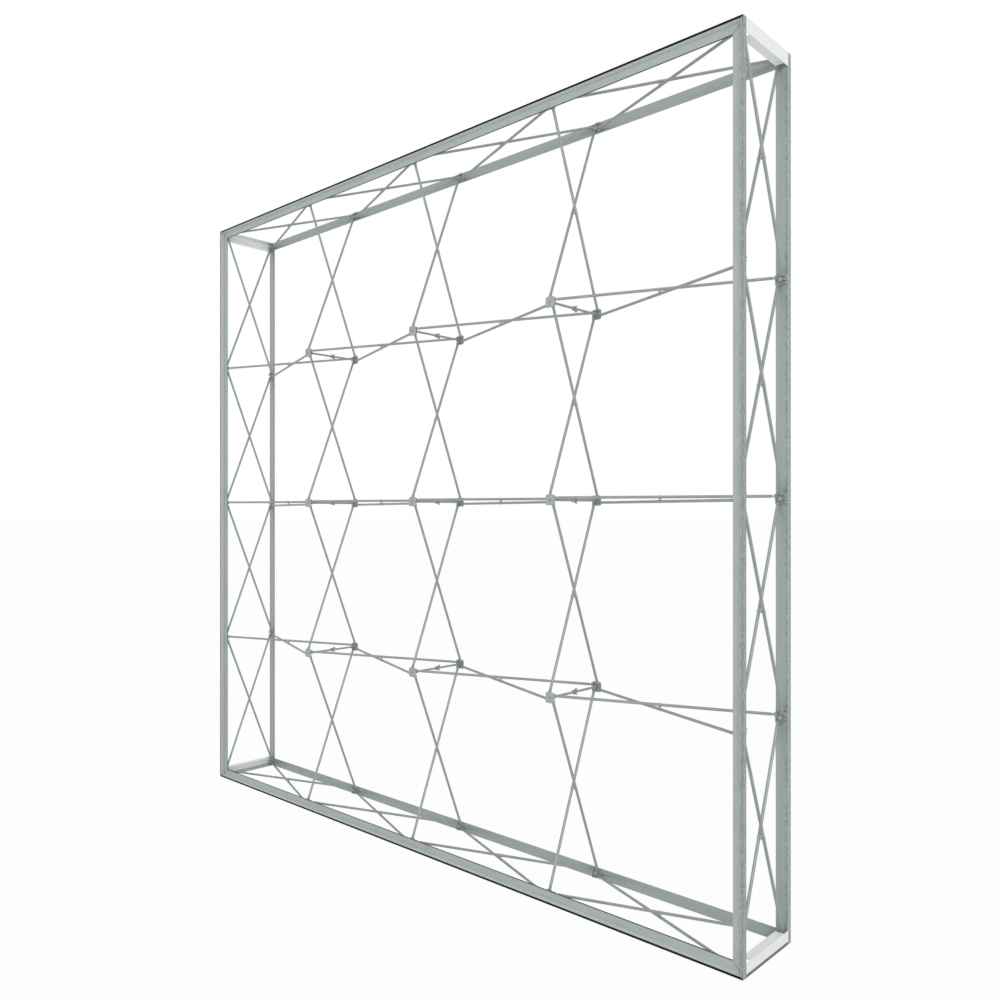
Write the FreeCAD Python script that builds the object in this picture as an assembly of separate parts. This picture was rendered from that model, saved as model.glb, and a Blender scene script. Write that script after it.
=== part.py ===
import FreeCAD, Part
import math
import os
from FreeCAD import Vector

# Display wall frame: a square scissor lattice of thin tubes on moulded hubs,
# with a front and a rear frame of grooved rails plugged onto the outer hubs.
# Millimetres, +Z up, +X to the right of the front, the front faces -Y.
# The origin is on the floor, at the centre of the footprint.

# Lattice bays, hub centre to hub centre.
BAYS_ACROSS = 4
BAYS_UP = 4
BAY_WIDTH = 735.0
BAY_HEIGHT = 735.0
PIN_PLANE_DEPTH = 288.0

# Pins, and the tongues and ears that they join.
PIN_RADIUS = 2.0
PIN_CLEARANCE = 0.05
PIN_HEAD_RADIUS = 3.2
PIN_HEAD_THICKNESS = 0.8
TONGUE_WALL = 2.95
TONGUE_THICKNESS = 6.0
TONGUE_PLAY = 0.4
EAR_WALL = 3.15
EAR_THICKNESS = 3.8

# Strut tubes, their end tips and the rivet where two of them cross.
TUBE_RADIUS = 5.25
TUBE_WALL = 1.0
CROSSING_GAP = 5.5
WASHER_PLAY = 0.1
WASHER_RADIUS = 5.0
RIVET_HEAD_RADIUS = 4.0
RIVET_HEAD_THICKNESS = 1.5
TANG_LENGTH = 12.0
COLLAR_LENGTH = 2.0
PLUG_LENGTH = 20.0
PLUG_PLAY = 0.05

# Hubs: face plate, central boss with a blind bore, and the lug of the lock.
HUB_PLATE = 3.5
PLATE_PLAY = 0.5
BORE_RADIUS = 3.0
BORE_DEPTH = 11.0
BORE_END_WALL = 2.0
BOSS_WALL = 5.0
BOSS_PLAY = 2.0
LUG_REACH = 15.0
LUG_EAR_THICKNESS = 3.0
LUG_PLAY = 0.3

# Rails: a lip and a wall with the graphic groove between them, on a wide flange at the back.
RAIL_DEPTH = 22.0
RAIL_LIP = 1.5
GROOVE_WIDTH = 3.9
GROOVE_WALL = 4.6
FLANGE_WIDTH = 42.0
FLANGE_THICKNESS = 5.0
MITRE_GAP = 0.4

# Pegs that hold the rails in the hub bores.
PEG_PLAY = 0.1
PEG_END_PLAY = 2.0
PEG_HEAD_RADIUS = 4.5
PEG_HEAD_DEPTH = 1.6
PEG_SEAT = 0.05

# Depth bars at the corners, and the foot strips under the lower two.
BAR_WALL = 2.0
BAR_HEIGHT = 46.0
BAR_WIDTH = 30.0
BAR_RELIEF = 30.0
BAR_PLAY = 0.3
BAR_END_PLAY = 0.1
FOOT_HEIGHT = 11.0

# Lock: an arm with a fork from the front hub, a post with a ball from the rear hub.
LOCK_ROD_RADIUS = 4.5
LOCK_TANG_LENGTH = 8.0
BALL_RADIUS = 4.8
BALL_PLAY = 0.7
BALL_SIDE_PLAY = 0.4
NECK_RADIUS = 2.4
NECK_PLAY = 0.2
NECK_LENGTH = 16.0
FORK_WALL = 2.8
FORK_WIDTH = 10.0
FORK_SHOULDER = 5.0
FORK_LATCH = 2.5
PRONG_LENGTH = 7.0
PRONG_FLARE = 4.5

# Sizes that follow from the ones above.
PIN_HOLE = PIN_RADIUS + PIN_CLEARANCE
TONGUE_RADIUS = PIN_HOLE + TONGUE_WALL
EAR_RADIUS = PIN_HOLE + EAR_WALL
CLEVIS_GAP = TONGUE_THICKNESS + 2 * TONGUE_PLAY
LUG_GAP = TONGUE_THICKNESS + 2 * LUG_PLAY
CLEVIS_OFFSET = TUBE_RADIUS + CROSSING_GAP / 2
CLEVIS_OUTSIDE = CLEVIS_OFFSET + CLEVIS_GAP / 2 + EAR_THICKNESS
BOSS_RADIUS = BORE_RADIUS + BOSS_WALL
PIN_REACH = BOSS_RADIUS + BOSS_PLAY + TONGUE_RADIUS
PIN_SETBACK = HUB_PLATE + PLATE_PLAY + TONGUE_RADIUS
BOSS_END = BORE_DEPTH - PIN_SETBACK + BORE_END_WALL
HUB_REACH = PIN_REACH + EAR_RADIUS
EDGE_MARGIN = HUB_REACH + BAR_PLAY + BAR_WALL
TUBE_START = TANG_LENGTH + COLLAR_LENGTH
PEG_RADIUS = BORE_RADIUS - PEG_PLAY
PEG_REACH = BORE_DEPTH - PEG_END_PLAY
FLANGE_FRONT = RAIL_DEPTH - FLANGE_THICKNESS

WIDTH = BAYS_ACROSS * BAY_WIDTH + 2 * EDGE_MARGIN
HEIGHT = BAYS_UP * BAY_HEIGHT + 2 * EDGE_MARGIN
DEPTH = PIN_PLANE_DEPTH + 2 * (PIN_SETBACK + RAIL_DEPTH)
PIN_PLANE = PIN_PLANE_DEPTH / 2
RAIL_BACK = DEPTH / 2 - RAIL_DEPTH
LOCK_PIN_PLANE = PIN_PLANE - LUG_REACH

COLUMN_X = [(i - BAYS_ACROSS / 2) * BAY_WIDTH for i in range(BAYS_ACROSS + 1)]
ROW_Z = [EDGE_MARGIN + j * BAY_HEIGHT for j in range(BAYS_UP + 1)]
FRONT = -1
REAR = 1
X_AXIS = Vector(1, 0, 0)
Y_AXIS = Vector(0, 1, 0)
Z_AXIS = Vector(0, 0, 1)
ORIGIN = Vector(0, 0, 0)


def prism(points, direction):
    """A straight solid over a closed outline of points."""
    outline = Part.makePolygon(list(points) + [points[0]])
    return Part.Face(outline).extrude(direction)


def block(low, high):
    """A box between two opposite corners."""
    size = Vector(*high) - Vector(*low)
    return Part.makeBox(size.x, size.y, size.z, Vector(*low))


def rod(radius, start, end):
    """A round bar between two points."""
    return Part.makeCylinder(radius, (end - start).Length, start, end - start)


def fused(solids):
    """One solid out of several, with the seams between flat faces removed."""
    return solids[0].multiFuse(solids[1:]).removeSplitter()


def arch(centre_x, centre_y, radius, foot_y, low_z, thickness):
    """An ear: a plate in X and Y with a round end about its pin, standing on foot_y."""
    left = Vector(centre_x - radius, centre_y, low_z)
    right = Vector(centre_x + radius, centre_y, low_z)
    top = Vector(centre_x, centre_y + radius, low_z)
    foot_right = Vector(centre_x + radius, foot_y, low_z)
    foot_left = Vector(centre_x - radius, foot_y, low_z)
    edges = [
        Part.makeLine(foot_left, foot_right),
        Part.makeLine(foot_right, right),
        Part.Arc(right, top, left).toShape(),
        Part.makeLine(left, foot_left),
    ]
    return Part.Face(Part.Wire(edges)).extrude(Z_AXIS * thickness)


def ear_pair(centre_x, centre_y, foot_y, middle_z, gap, thickness):
    """Two ears with a gap between them, and the hole for their pin."""
    ears = []
    for low_z in (middle_z - gap / 2 - thickness, middle_z + gap / 2):
        ear = arch(centre_x, centre_y, EAR_RADIUS, foot_y, low_z, thickness)
        start = Vector(centre_x, centre_y, low_z)
        ears.append(ear.cut(rod(PIN_HOLE, start, start + Z_AXIS * thickness)))
    return ears


def hub(has_lug):
    """A front hub about its centre on the pin plane: its face looks along -Y."""
    reach = HUB_REACH
    flat = CLEVIS_OUTSIDE
    outline = [(reach, flat), (flat, reach), (-flat, reach), (-reach, flat),
               (-reach, -flat), (-flat, -reach), (flat, -reach), (reach, -flat)]
    plate = prism([Vector(x, -PIN_SETBACK, z) for x, z in outline], Y_AXIS * HUB_PLATE)
    boss = rod(BOSS_RADIUS, Vector(0, -PIN_SETBACK, 0), Vector(0, BOSS_END, 0))
    pieces = [plate, boss]
    foot_y = HUB_PLATE - PIN_SETBACK
    for quarter in range(4):
        for ear in ear_pair(PIN_REACH, 0, foot_y, CLEVIS_OFFSET, CLEVIS_GAP, EAR_THICKNESS):
            ear.rotate(ORIGIN, Y_AXIS * -1, 90 * quarter)
            pieces.append(ear)
    if has_lug:
        lug_foot = BOSS_END - BORE_END_WALL / 2
        pieces += ear_pair(0, LUG_REACH, lug_foot, 0, LUG_GAP, LUG_EAR_THICKNESS)
    bore = rod(BORE_RADIUS, Vector(0, -PIN_SETBACK, 0), Vector(0, BORE_DEPTH - PIN_SETBACK, 0))
    return fused(pieces).cut(bore)


def hub_centre(column, row, side):
    return Vector(COLUMN_X[column], side * PIN_PLANE, ROW_Z[row])


def is_inner(column, row):
    return 0 < column < BAYS_ACROSS and 0 < row < BAYS_UP


def hub_row(row, side, plain_hub, lug_hub):
    """The hubs of one row on one side: a rear hub is a front hub turned about."""
    hubs = []
    for column in range(BAYS_ACROSS + 1):
        copy = (lug_hub if is_inner(column, row) else plain_hub).copy()
        if side == REAR:
            copy.rotate(ORIGIN, Z_AXIS, 180)
        copy.translate(hub_centre(column, row, side))
        hubs.append(copy)
    return hubs


def headed_pin(length):
    """A pin along Z about its middle, with a flat head at each end."""
    half = length / 2
    head = Z_AXIS * PIN_HEAD_THICKNESS
    shank = rod(PIN_RADIUS, Z_AXIS * -half, Z_AXIS * half)
    upper = rod(PIN_HEAD_RADIUS, Z_AXIS * half, Z_AXIS * half + head)
    lower = rod(PIN_HEAD_RADIUS, Z_AXIS * -half - head, Z_AXIS * -half)
    return fused([shank, upper, lower])


def strut_tube(span):
    """A strut along X from pin to pin, cut back for its tips and drilled for the rivet."""
    start = Vector(TUBE_START, 0, 0)
    end = Vector(span - TUBE_START, 0, 0)
    tube = rod(TUBE_RADIUS, start, end).cut(rod(TUBE_RADIUS - TUBE_WALL, start, end))
    middle = Vector(span / 2, 0, 0)
    return tube.cut(rod(PIN_HOLE, middle - Z_AXIS * TUBE_RADIUS, middle + Z_AXIS * TUBE_RADIUS))


def strut_tip():
    """A tip along X: eye about its pin, flat tang, collar, and the plug inside the tube."""
    half = TONGUE_THICKNESS / 2
    eye = rod(TONGUE_RADIUS, Z_AXIS * -half, Z_AXIS * half)
    tang = block((0, -TONGUE_RADIUS, -half), (TANG_LENGTH, TONGUE_RADIUS, half))
    collar = rod(TUBE_RADIUS, X_AXIS * TANG_LENGTH, X_AXIS * TUBE_START)
    bore_radius = TUBE_RADIUS - TUBE_WALL
    plug = rod(bore_radius - PLUG_PLAY, X_AXIS * TUBE_START, X_AXIS * (TUBE_START + PLUG_LENGTH))
    tip = fused([eye, tang, collar, plug])
    return tip.cut(rod(PIN_HOLE, Z_AXIS * -half, Z_AXIS * half))


def scissor_rivet():
    """A rivet along Z through two crossing tubes, with a flat head on each tube."""
    half = CLEVIS_OFFSET + TUBE_RADIUS
    head = Z_AXIS * RIVET_HEAD_THICKNESS
    shank = rod(PIN_RADIUS, Z_AXIS * -half, Z_AXIS * half)
    upper = rod(RIVET_HEAD_RADIUS, Z_AXIS * half, Z_AXIS * half + head)
    lower = rod(RIVET_HEAD_RADIUS, Z_AXIS * -half - head, Z_AXIS * -half)
    return fused([shank, upper, lower])


def scissor_washer():
    """The spacing washer between two crossing tubes, along Z."""
    half = CROSSING_GAP / 2 - WASHER_PLAY
    outside = rod(WASHER_RADIUS, Z_AXIS * -half, Z_AXIS * half)
    return outside.cut(rod(PIN_HOLE, Z_AXIS * -half, Z_AXIS * half))


def laid(shape, place, along, pin_axis):
    """A copy of a shape with its X turned to along, its Z to pin_axis and its origin at place."""
    copy = shape.copy()
    turn = FreeCAD.Rotation(along, ORIGIN, pin_axis, "XZY")
    copy.Placement = FreeCAD.Placement(place, turn).multiply(copy.Placement)
    return copy


def scissor_lines(column, row, run, pin_axis, bay):
    """The two pin to pin lines of the scissor that runs from a hub along run, over one bay."""
    sideways = pin_axis * CLEVIS_OFFSET
    if run == Z_AXIS:
        sideways = sideways * -1
    lines = []
    for side in (FRONT, REAR):
        near = hub_centre(column, row, side) + run * PIN_REACH - sideways * side
        across = Y_AXIS * (-side * PIN_PLANE_DEPTH)
        far = near + run * (bay - 2 * PIN_REACH) + across
        lines.append((near, far, side))
    return lines


class Lattice:
    """Collects the struts, tips, pins, rivets and washers of every scissor pair."""

    def __init__(self):
        self.tips = {FRONT: [], REAR: []}
        self.pins = {FRONT: [], REAR: []}
        self.rivets = []
        self.washers = []
        self.tip = strut_tip()
        self.pin = headed_pin(CLEVIS_GAP + 2 * EAR_THICKNESS)
        self.rivet = scissor_rivet()
        self.washer = scissor_washer()

    def add_pin(self, place, pin_axis, side):
        self.pins[side].append(laid(self.pin, place, Y_AXIS, pin_axis))

    def add_scissor(self, column, row, run, pin_axis, bay):
        struts = []
        for near, far, side in scissor_lines(column, row, run, pin_axis, bay):
            along = (far - near).normalize()
            struts.append(laid(strut_tube((far - near).Length), near, along, pin_axis))
            self.tips[side].append(laid(self.tip, near, along, pin_axis))
            self.tips[-side].append(laid(self.tip, far, along * -1, pin_axis))
            self.add_pin(near, pin_axis, side)
            self.add_pin(far, pin_axis, -side)
        middle = hub_centre(column, row, FRONT) + run * (bay / 2) + Y_AXIS * PIN_PLANE
        self.rivets.append(laid(self.rivet, middle, Y_AXIS, pin_axis))
        self.washers.append(laid(self.washer, middle, Y_AXIS, pin_axis))
        return struts

    def cross_row(self, row):
        struts = []
        for column in range(BAYS_ACROSS):
            struts += self.add_scissor(column, row, X_AXIS, Z_AXIS, BAY_WIDTH)
        return struts

    def upright_column(self, column):
        struts = []
        for row in range(BAYS_UP):
            struts += self.add_scissor(column, row, Z_AXIS, X_AXIS, BAY_HEIGHT)
        return struts


class RailFrame:
    """Places a rail: s runs along it, u inward from its outer edge, v back from its face."""

    def __init__(self, side, edge):
        self.side = side
        self.v_axis = Y_AXIS * -side
        level = edge in ("top", "bottom")
        self.length = WIDTH if level else HEIGHT
        self.s_axis = X_AXIS if level else Z_AXIS
        self.u_axis = {"top": Z_AXIS * -1, "bottom": Z_AXIS, "left": X_AXIS, "right": X_AXIS * -1}[edge]
        start_x = WIDTH / 2 if edge == "right" else -WIDTH / 2
        start_z = HEIGHT if edge == "top" else 0
        self.start = Vector(start_x, side * DEPTH / 2, start_z)
        bays, bay = (BAYS_ACROSS, BAY_WIDTH) if level else (BAYS_UP, BAY_HEIGHT)
        self.peg_places = [EDGE_MARGIN + k * bay for k in range(1, bays)]

    def at(self, s, u, v):
        return self.start + self.s_axis * s + self.u_axis * u + self.v_axis * v


def mitred_strip(place, u_span, v_span):
    """A flat strip along a rail between u and v limits, with its ends cut to the mitres."""
    near = MITRE_GAP / 2
    far = place.length - near
    outline = [(near + u_span[0], u_span[0]), (far - u_span[0], u_span[0]),
               (far - u_span[1], u_span[1]), (near + u_span[1], u_span[1])]
    points = [place.at(s, u, v_span[0]) for s, u in outline]
    return prism(points, place.v_axis * (v_span[1] - v_span[0]))


def rail(place):
    """One rail of three strips that touch: the lip, the groove's inner wall and the drilled flange."""
    wall_start = RAIL_LIP + GROOVE_WIDTH
    lip = mitred_strip(place, (0, RAIL_LIP), (0, FLANGE_FRONT))
    wall = mitred_strip(place, (wall_start, wall_start + GROOVE_WALL), (0, FLANGE_FRONT))
    flange = mitred_strip(place, (0, FLANGE_WIDTH), (FLANGE_FRONT, RAIL_DEPTH))
    for s in place.peg_places:
        flange = flange.cut(peg_body(place, s, PEG_SEAT, RAIL_DEPTH))
    return [lip, wall, flange]


def peg_body(place, s, extra, end_v):
    """A countersunk head at the flange's front and a round shank back to end_v."""
    seat = place.at(s, EDGE_MARGIN, FLANGE_FRONT)
    head = Part.makeCone(PEG_HEAD_RADIUS + extra, PEG_RADIUS + extra, PEG_HEAD_DEPTH, seat, place.v_axis)
    shank = rod(PEG_RADIUS + extra, seat, place.at(s, EDGE_MARGIN, end_v))
    return fused([head, shank])


def rail_pegs(place):
    return [peg_body(place, s, 0, RAIL_DEPTH + PEG_REACH) for s in place.peg_places]


def bar_corner(right, top):
    """Outer edge and inward directions of a depth bar: u inward in X, w inward in Z."""
    edge = Vector(WIDTH / 2 if right else -WIDTH / 2, 0, HEIGHT if top else 0)
    u_axis = X_AXIS * (-1 if right else 1)
    w_axis = Z_AXIS * (-1 if top else 1)
    return edge, u_axis, w_axis


def bar_plate(corner, u_span, w_span, half_length):
    """A straight plate of a depth bar, between u and w limits, centred along Y."""
    edge, u_axis, w_axis = corner
    outline = [(u_span[0], w_span[0]), (u_span[1], w_span[0]), (u_span[1], w_span[1]), (u_span[0], w_span[1])]
    points = [edge + u_axis * u + w_axis * w - Y_AXIS * half_length for u, w in outline]
    return prism(points, Y_AXIS * (2 * half_length))


def bar_tongue(corner, side, clevis_z):
    """The pinned tongue of a depth bar, in the unused outer clevis of a corner hub."""
    edge, u_axis, _ = corner
    pin = Vector(edge.x, side * PIN_PLANE, clevis_z) + u_axis * (EDGE_MARGIN - PIN_REACH)
    half = Z_AXIS * (TONGUE_THICKNESS / 2)
    eye = rod(TONGUE_RADIUS, pin - half, pin + half)
    outline = [pin + Y_AXIS * TONGUE_RADIUS, pin - Y_AXIS * TONGUE_RADIUS]
    outline += [Vector(edge.x, point.y, point.z) for point in reversed(outline)]
    neck = prism([point - half for point in outline], half * 2)
    return [eye, neck], pin


def depth_bar(right, top, lattice):
    """A depth bar: outer web, flanges, and a tongue pinned to the hub at each end."""
    corner = bar_corner(right, top)
    half_length = RAIL_BACK - BAR_END_PLAY
    lowest = 0 if top else FOOT_HEIGHT
    web = bar_plate(corner, (0, BAR_WALL), (lowest, BAR_HEIGHT), half_length)
    inner_span = (BAR_HEIGHT - BAR_WALL, BAR_HEIGHT)
    pieces = [web, bar_plate(corner, (0, BAR_WIDTH), inner_span, half_length - BAR_RELIEF)]
    if top:
        pieces.append(bar_plate(corner, (0, BAR_WIDTH), (0, BAR_WALL), half_length))
    hub_z = ROW_Z[-1] if top else ROW_Z[0]
    holes = []
    for side in (FRONT, REAR):
        turned = -side if right else side
        tongue, pin = bar_tongue(corner, side, hub_z + turned * CLEVIS_OFFSET)
        pieces += tongue
        half = Z_AXIS * TONGUE_THICKNESS
        holes.append(rod(PIN_HOLE, pin - half, pin + half))
        lattice.add_pin(pin, Z_AXIS, side)
    return fused(pieces).cut(Part.makeCompound(holes))


def foot_strip(right):
    """The dark angle under a lower depth bar that stands on the floor."""
    corner = bar_corner(right, False)
    half_length = RAIL_BACK - BAR_END_PLAY
    upright = bar_plate(corner, (0, BAR_WALL), (0, FOOT_HEIGHT), half_length)
    sole = bar_plate(corner, (0, BAR_WIDTH), (0, BAR_WALL), half_length)
    return fused([upright, sole])


def lock_eye(pin_y, towards):
    """The eye, tang and first bit of rod of a lock piece, on its pin in the hub lug."""
    half = TONGUE_THICKNESS / 2
    pin = Vector(0, pin_y, 0)
    eye = rod(TONGUE_RADIUS, pin - Z_AXIS * half, pin + Z_AXIS * half)
    tang_end = pin_y + towards * LOCK_TANG_LENGTH
    low_y = min(pin_y, tang_end)
    high_y = max(pin_y, tang_end)
    tang = block((-LOCK_ROD_RADIUS, low_y, -half), (LOCK_ROD_RADIUS, high_y, half))
    hole = rod(PIN_HOLE, pin - Z_AXIS * half, pin + Z_AXIS * half)
    return fused([eye, tang]).cut(hole), tang_end


def lock_fork():
    """The forked clip, drawn from the side in Y and Z and open along X."""
    slot = NECK_RADIUS + NECK_PLAY
    cavity = BALL_RADIUS + BALL_SIDE_PLAY
    back = -BALL_RADIUS - BALL_PLAY
    latch = BALL_RADIUS + BALL_PLAY
    outside = cavity + FORK_WALL
    throat = latch + FORK_LATCH
    tip_y = throat + PRONG_LENGTH
    tip_z = outside + PRONG_FLARE
    upper = [(back - FORK_SHOULDER, LOCK_ROD_RADIUS), (back, outside), (throat, outside), (tip_y, tip_z),
             (tip_y, tip_z - FORK_WALL), (throat, slot), (latch, slot), (latch, cavity), (back, cavity)]
    lower = [(y, -z) for y, z in reversed(upper)]
    points = [Vector(-FORK_WIDTH / 2, y, z) for y, z in upper + lower]
    return prism(points, X_AXIS * FORK_WIDTH), back - FORK_SHOULDER


def lock_arm():
    """The lock arm about the middle of the wall's depth, on the line of its two hubs."""
    eye, tang_end = lock_eye(-LOCK_PIN_PLANE, 1)
    fork, fork_start = lock_fork()
    root = fork_start + FORK_SHOULDER / 2
    shaft = rod(LOCK_ROD_RADIUS, Vector(0, tang_end, 0), Vector(0, root, 0))
    return fused([eye, shaft, fork])


def lock_post():
    """The lock post: a rod from the rear hub with a neck and a ball that the fork holds."""
    eye, tang_end = lock_eye(LOCK_PIN_PLANE, -1)
    shaft = rod(LOCK_ROD_RADIUS, Vector(0, NECK_LENGTH, 0), Vector(0, tang_end, 0))
    neck = rod(NECK_RADIUS, ORIGIN, Vector(0, NECK_LENGTH, 0))
    ball = Part.makeSphere(BALL_RADIUS)
    return fused([eye, shaft, neck, ball])


def lock_line(column, row):
    return Vector(COLUMN_X[column], 0, ROW_Z[row])


def export(name, solids):
    Part.makeCompound(solids).exportStep("parts/" + name + ".step")


def export_rails():
    for side, side_name in ((FRONT, "front"), (REAR, "rear")):
        for edge in ("top", "bottom", "left", "right"):
            place = RailFrame(side, edge)
            export(side_name + "_" + edge + "_rail", rail(place))
            export(side_name + "_" + edge + "_rail_pegs", rail_pegs(place))


def export_hubs():
    plain_hub = hub(False)
    lug_hub = hub(True)
    for row in range(BAYS_UP + 1):
        for side, side_name in ((FRONT, "front"), (REAR, "rear")):
            name = side_name + "_hubs_row_" + str(row + 1)
            export(name, hub_row(row, side, plain_hub, lug_hub))


def export_lattice(lattice):
    for row in range(BAYS_UP + 1):
        export("cross_struts_row_" + str(row + 1), lattice.cross_row(row))
    for column in range(BAYS_ACROSS + 1):
        export("upright_struts_column_" + str(column + 1), lattice.upright_column(column))
    for right, right_name in ((False, "left"), (True, "right")):
        for top, top_name in ((False, "bottom"), (True, "top")):
            export("depth_bar_" + top_name + "_" + right_name, [depth_bar(right, top, lattice)])
    export("foot_strips", [foot_strip(False), foot_strip(True)])
    for side, side_name in ((FRONT, "front"), (REAR, "rear")):
        export(side_name + "_strut_tips", lattice.tips[side])
        export(side_name + "_hub_pins", lattice.pins[side])
    export("scissor_rivets", lattice.rivets)
    export("scissor_washers", lattice.washers)


def export_locks():
    arm = lock_arm()
    post = lock_post()
    pin = headed_pin(LUG_GAP + 2 * LUG_EAR_THICKNESS)
    posts = []
    pins = []
    for row in range(1, BAYS_UP):
        for column in range(1, BAYS_ACROSS):
            line = lock_line(column, row)
            name = "lock_arm_row_" + str(row + 1) + "_column_" + str(column + 1)
            export(name, [arm.translated(line)])
            posts.append(post.translated(line))
            for side in (FRONT, REAR):
                pins.append(pin.translated(line + Y_AXIS * (side * LOCK_PIN_PLANE)))
    export("lock_posts", posts)
    export("lock_pins", pins)


os.makedirs("parts", exist_ok=True)
export_rails()
export_hubs()
export_lattice(Lattice())
export_locks()
print("width, depth, height:", WIDTH, DEPTH, HEIGHT)
print("strut length, pin to pin:", math.hypot(BAY_WIDTH - 2 * PIN_REACH, PIN_PLANE_DEPTH))
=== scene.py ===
import math

import bmesh
import bpy
from mathutils import Matrix, Vector


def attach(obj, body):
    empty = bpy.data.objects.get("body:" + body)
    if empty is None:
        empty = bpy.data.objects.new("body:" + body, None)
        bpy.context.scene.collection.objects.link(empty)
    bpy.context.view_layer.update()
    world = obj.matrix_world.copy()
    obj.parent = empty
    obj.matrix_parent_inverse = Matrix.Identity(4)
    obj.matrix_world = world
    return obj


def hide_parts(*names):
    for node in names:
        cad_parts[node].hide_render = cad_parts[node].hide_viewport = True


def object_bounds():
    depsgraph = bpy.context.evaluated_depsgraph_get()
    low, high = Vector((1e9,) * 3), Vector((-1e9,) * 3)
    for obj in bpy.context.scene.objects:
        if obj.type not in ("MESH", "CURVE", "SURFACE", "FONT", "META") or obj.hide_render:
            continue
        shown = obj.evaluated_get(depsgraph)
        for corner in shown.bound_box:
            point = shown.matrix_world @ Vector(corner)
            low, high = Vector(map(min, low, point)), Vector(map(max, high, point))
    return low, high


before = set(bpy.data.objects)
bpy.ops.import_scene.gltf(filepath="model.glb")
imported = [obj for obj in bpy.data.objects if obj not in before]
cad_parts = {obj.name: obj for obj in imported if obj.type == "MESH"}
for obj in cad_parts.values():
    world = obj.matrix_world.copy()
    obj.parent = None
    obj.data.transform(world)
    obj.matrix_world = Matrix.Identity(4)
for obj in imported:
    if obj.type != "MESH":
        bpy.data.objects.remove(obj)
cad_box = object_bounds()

# Hubs
# Fifty grey hubs hold the ends of the struts. Each is moulded in one piece from filled nylon: an eight
# sided face plate, a round boss with a blind bore for pegs, and four pairs of ears set as a pinwheel. The
# inner ones have one more pair behind the boss, for the lock. Behind the face plate the colour is darker, as
# painted shade.
MM = 0.001
BAYS = 4
BAY = 735 * MM
PIN_PLANE = 144 * MM
FIRST_ROW = 22.5 * MM
COLUMN_X = [(column - BAYS / 2) * BAY for column in range(BAYS + 1)]
ROW_Z = [FIRST_ROW + row * BAY for row in range(BAYS + 1)]
SIDES = {"front": -1, "rear": 1}
X_AXIS = Vector((1, 0, 0))
Y_AXIS = Vector((0, 1, 0))
Z_AXIS = Vector((0, 0, 1))

HUB_REACH = 20.2 * MM
HUB_FLAT = 15.2 * MM
HUB_FACE = -9.0 * MM
PLATE_BACK = -5.5 * MM
FACE_RECESS = 0.5 * MM
RECESS_RADIUS = 13.2 * MM
RIM_RADIUS = 6.2 * MM
BOSS_RADIUS = 8.0 * MM
BOSS_END = 4.0 * MM
BORE_RADIUS = 3.0 * MM
BORE_END = 2.0 * MM
MOULD_EDGE = 0.5 * MM
EAR_RADIUS = 5.2 * MM
EAR_SINK = 0.4 * MM
PIN_HOLE = 2.05 * MM
PIN_REACH = 15.0 * MM
CLEVIS_OFFSET = 8.0 * MM
CLEVIS_GAP = 6.8 * MM
CLEVIS_EAR = 3.8 * MM
LUG_REACH = 15.0 * MM
LUG_GAP = 6.6 * MM
LUG_EAR = 3.0 * MM
QUARTER_TURN = math.pi / 2
HALF_TURN = math.pi
FULL_TURN = 2 * math.pi
BODY_STEP = math.radians(9)
EAR_STEP = math.radians(12)
SHARP_EDGE = math.radians(38)
LEAST = 1e-6


def skin(bm, loops, ends):
    """Faces over a run of loops of as many points each, with its ends capped or joined to each other."""
    rings = [[bm.verts.new(point) for point in loop] for loop in loops]
    pairs = list(zip(rings, rings[1:]))
    if ends == "joined":
        pairs.append((rings[-1], rings[0]))
    for near, far in pairs:
        for i in range(len(near)):
            j = (i + 1) % len(near)
            bm.faces.new((near[i], near[j], far[j], far[i]))
    if ends == "capped":
        bm.faces.new(rings[0])
        bm.faces.new(rings[-1])


def template(bm, name):
    """A mesh to copy from, with its faces turned outwards and its own points kept as the layer along."""
    bmesh.ops.recalc_face_normals(bm, faces=bm.faces)
    layer = bm.verts.layers.float_vector.new("along")
    for vert in bm.verts:
        vert[layer] = vert.co
    for face in bm.faces:
        face.smooth = True
    mesh = bpy.data.meshes.new(name + "_template")
    bm.to_mesh(mesh)
    bm.free()
    return mesh


def set_out(name, placed, finish, body, nodes):
    """One piece made of copies of template meshes, each at its place, that stands for CAD nodes."""
    bm = bmesh.new()
    for mesh, place in placed:
        copy = mesh.copy()
        copy.transform(place)
        bm.from_mesh(copy)
        bpy.data.meshes.remove(copy)
    joined = bpy.data.meshes.new(name)
    bm.to_mesh(joined)
    bm.free()
    joined.set_sharp_from_angle(angle=SHARP_EDGE)
    joined.materials.append(finish)
    piece = bpy.data.objects.new(name, joined)
    bpy.context.scene.collection.objects.link(piece)
    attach(piece, body)
    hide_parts(*nodes)


def octagon_reach(angle, inset):
    """Distance from the middle of a hub to the edge of its face plate, inset all round."""
    across = abs(math.cos(angle))
    up = abs(math.sin(angle))
    straight = (HUB_REACH - inset) / max(across, up)
    slanted = (HUB_REACH + HUB_FLAT - inset * math.sqrt(2)) / (across + up)
    return min(straight, slanted)


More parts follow.
